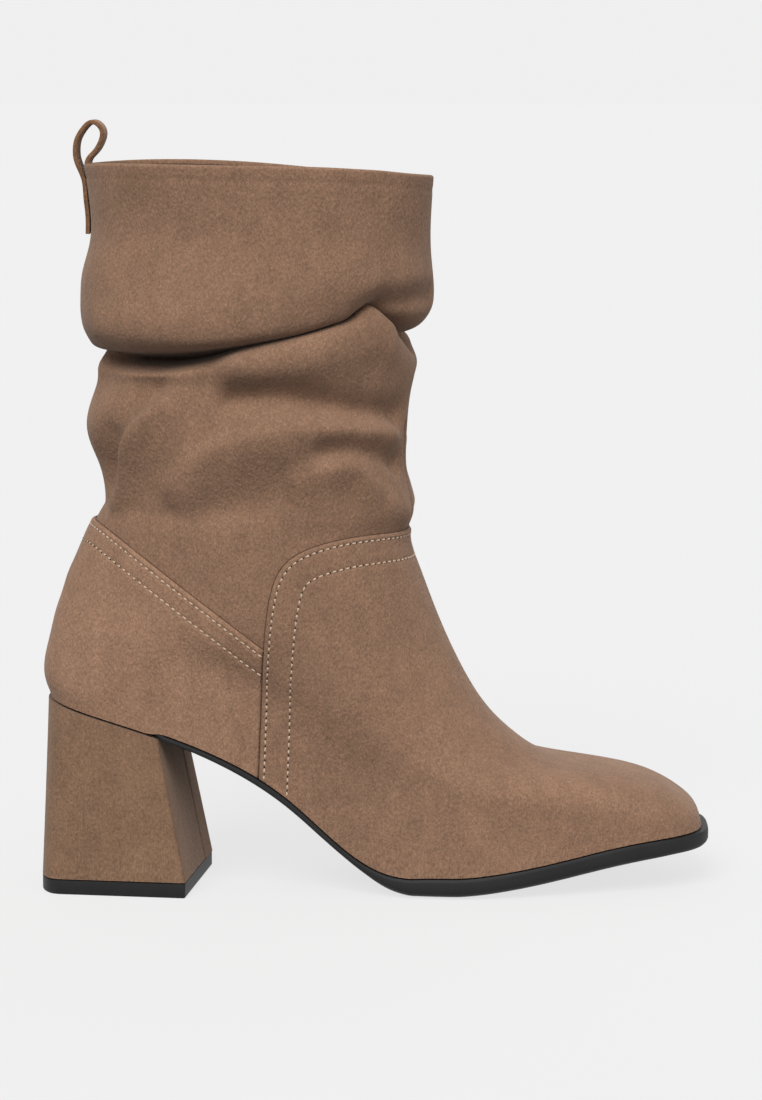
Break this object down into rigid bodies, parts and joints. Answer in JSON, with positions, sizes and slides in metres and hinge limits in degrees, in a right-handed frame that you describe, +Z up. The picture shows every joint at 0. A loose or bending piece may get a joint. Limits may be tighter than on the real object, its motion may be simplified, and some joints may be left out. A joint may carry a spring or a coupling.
{
  "type": "block heel boot",
  "caption": "Right-foot slouch ankle boot in faux suede, with a folded cuff, vamp and counter panels, soft square toe, flared covered block heel and a pull loop.",
  "frame": {"origin": "on the floor, at the middle of the boot's box seen from above", "axes": "+X towards the toe, +Y towards the inner (medial) side of the foot, +Z up"},
  "size_m": [0.243, 0.0968, 0.2772],
  "materials": {
    "suede": "napped taupe faux suede",
    "rubber": "matt black rubber",
    "lining": "dark brown textile lining",
    "loop_strip": "folded faux suede strip with cut brown edges"
  },
  "bodies": {
    "root": {"upper": "suede", "vamp": "suede", "counter": "suede", "outsole": "rubber", "heel_block": "suede", "heel_lift": "rubber", "insole": "lining", "pull_loop": "loop_strip"}
  },
  "joints": []
}
